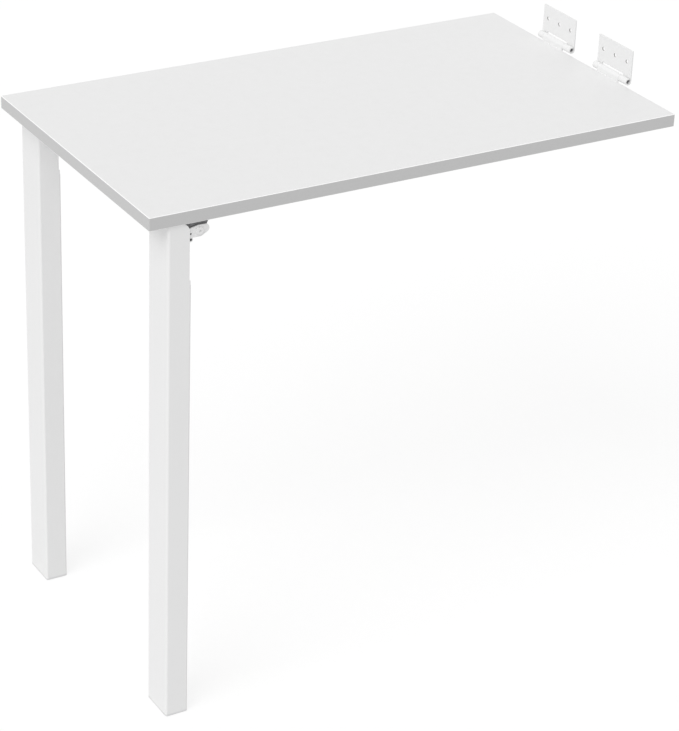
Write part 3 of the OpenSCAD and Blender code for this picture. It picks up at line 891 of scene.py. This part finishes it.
washers = []
for low_x in (washer_low, -washer_low - washer_thick):
    washer = rod("washers_right", *across(pivot, low_x, low_x + washer_thick), washer_radius,
                 corners=64)
    cut_with(washer, rod("punch", *across(pivot, low_x - mm, low_x + washer_thick + mm),
                         pivot_hole))
    washers.append(washer)
only(*washers)
bpy.ops.object.join()
pair = named("washers_right")
for side, piece in (("left", mirrored(pair, "washers_left")), ("right", pair)):
    finished(piece, nylon, washer_ease)
    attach(piece, f"{side}_leg")
    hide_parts(f"friction_washers_{side}")


# ---- Pivot bolts and nuts -----------------------------------------------------------------------
# The leg turns on a bolt with a low button head and a six-sided socket, painted white. A zinc-
# plated nut with a locking ring holds its other end, on the leg's inner side.
bolt_low, bolt_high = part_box("pivot_bolt_right")
nut_low, nut_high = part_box("pivot_nut_right")
bolt_radius = 3 * mm
button_radius = (bolt_high.z - bolt_low.z) / 2
button_dome = 1.4 * mm
socket_radius = 1.8 * mm
socket_depth = 1.4 * mm
nut_radius = (nut_high.z - nut_low.z) / 2
nut_chamfer = 0.8 * mm
collar_radius = 4.1 * mm
collar_depth = 0.7 * mm
bolt_ease = 0.12 * mm

bolt_paint = powder_coat("bolt_paint", tone(234, 234, 234), roughness=0.35, rub=0.8)

bolt = rod("bolt_right", (pivot.x + arm_outside, pivot.y, pivot.z),
           (bolt_high.x, pivot.y, pivot.z), button_radius, corners=64)
pick(bolt, "FACE", towards(axes[0]))
bpy.ops.mesh.bevel(offset=button_dome, segments=6, affect="EDGES")
pick(bolt, "FACE", towards(-axes[0]))
bpy.ops.mesh.inset(thickness=button_radius - bolt_radius)
push_out(bolt_low.x - pivot.x - arm_outside, 0, 0)
cut_with(bolt, rod("key", (bolt_high.x - socket_depth, pivot.y, pivot.z),
                   (bolt_high.x + mm, pivot.y, pivot.z), socket_radius, corners=6))

nut = rod("nut_right", (nut_low.x, pivot.y, pivot.z), (nut_high.x, pivot.y, pivot.z), nut_radius,
          corners=6)
turned_blank = rod("blank", (nut_low.x, pivot.y, pivot.z), (nut_high.x, pivot.y, pivot.z),
                   nut_radius)
pick(turned_blank, "FACE", lambda middle, facing: abs(facing.x) > mostly)
bpy.ops.mesh.bevel(offset=nut_chamfer, segments=1, affect="EDGES")
cut_with(nut, turned_blank, "INTERSECT")
cut_with(nut, rod("drill", (nut_low.x - mm, pivot.y, pivot.z), (nut_high.x + mm, pivot.y, pivot.z),
                  bolt_radius + play))
cut_with(nut, rod("ring seat", (nut_low.x - mm, pivot.y, pivot.z),
                  (nut_low.x + collar_depth, pivot.y, pivot.z), collar_radius))
for side, shank, lock in (("left", mirrored(bolt, "bolt_left"), mirrored(nut, "nut_left")),
                          ("right", bolt, nut)):
    finished(shank, bolt_paint, bolt_ease)
    finished(lock, zinc_plate, bolt_ease)
    for part, slot, node in ((shank, "bolt_white", "pivot_bolt"),
                             (lock, "screw_zinc", "pivot_nut")):
        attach(part, f"{side}_leg")
        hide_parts(f"{node}_{side}")
# The two screws that the sets were copied from are no pieces of the table
for master in (wood_screw, bracket_screw):
    bpy.data.objects.remove(master)


# ---- Studio -------------------------------------------------------------------------------------
# A pale floor under an even white surround, with one broad soft lamp from the camera's side. What
# the camera sees of floor and surround is white, and the floor keeps a soft shadow.
floor_half = 15.0
floor_drop = 0.2 * mm
shadow_share = 0.25
floor_colour = tone(232, 232, 232)
shown_strength = 1.02
surround_strength = 0.68
lamp_strength = 1.3
lamp_spread = radians(40)
lamp_from = Vector((0.30, -0.62, 0.72))
lamp_away = 4

only()
bpy.ops.mesh.primitive_plane_add(size=2 * floor_half, location=(0, 0, -floor_drop))
floor = named("floor")
floor_paint = bpy.data.materials.new("floor_paint")
floor_paint.use_nodes = True
tree = floor_paint.node_tree
tree.nodes.remove(tree.nodes["Principled BSDF"])
light = put(tree, "ShaderNodeLightPath")
lit = put(tree, "ShaderNodeBsdfDiffuse", {"Color": (1, 1, 1, 1)}).outputs[0]
white = put(tree, "ShaderNodeEmission", {"Strength": shown_strength}).outputs[0]
shown = put(tree, "ShaderNodeMixShader", {0: shadow_share, 1: white, 2: lit}).outputs[0]
plain = put(tree, "ShaderNodeBsdfDiffuse", {"Color": floor_colour}).outputs[0]
seen = sums(tree, "MAXIMUM", light.outputs["Is Camera Ray"], light.outputs["Is Transmission Ray"])
above = put(tree, "ShaderNodeMixShader", {0: seen, 1: plain, 2: shown}).outputs[0]
clear = put(tree, "ShaderNodeBsdfTransparent").outputs[0]
below = put(tree, "ShaderNodeNewGeometry").outputs["Backfacing"]
tree.links.new(put(tree, "ShaderNodeMixShader", {0: below, 1: above, 2: clear}).outputs[0],
               tree.nodes["Material Output"].inputs[0])
floor.data.materials.append(floor_paint)

surround = bpy.data.worlds.new("surround")
surround.use_nodes = True
bpy.context.scene.world = surround
tree = surround.node_tree
light = put(tree, "ShaderNodeLightPath")
seen = sums(tree, "MAXIMUM", light.outputs["Is Camera Ray"],
            sums(tree, "MAXIMUM", light.outputs["Is Glossy Ray"],
                 light.outputs["Is Transmission Ray"]))
strength = put(tree, "ShaderNodeMix", {0: seen, 2: surround_strength, 3: 1.0}).outputs[0]
tree.nodes["Background"].inputs["Color"].default_value = (1, 1, 1, 1)
tree.links.new(strength, tree.nodes["Background"].inputs["Strength"])

bpy.ops.object.light_add(type="SUN", location=lamp_from * lamp_away)
lamp = bpy.context.object
lamp.rotation_euler = lamp_from.to_track_quat("Z", "Y").to_euler()
lamp.data.energy = lamp_strength
lamp.data.angle = lamp_spread


# ---- Camera -------------------------------------------------------------------------------------
# The camera stands about where the photograph was taken from. Its place and lens were fitted to
# the board's corners, the feet and the hinges, which no single camera meets exactly.
picture_height = 731
focal_px = 2553
camera_place = (2.7805, -2.0837, 2.0342)
turn, tilt, roll = radians(58.697), radians(27.412), radians(2.302)

bpy.ops.object.camera_add()
camera = bpy.context.object
camera.matrix_world = (Matrix.Translation(camera_place) @ Matrix.Rotation(turn, 4, "Z")
                       @ Matrix.Rotation(pi / 2 - tilt, 4, "X") @ Matrix.Rotation(roll, 4, "Z"))
camera.data.lens = camera.data.sensor_width * focal_px / picture_height
bpy.context.scene.camera = camera
bpy.context.scene.view_settings.view_transform = "Standard"
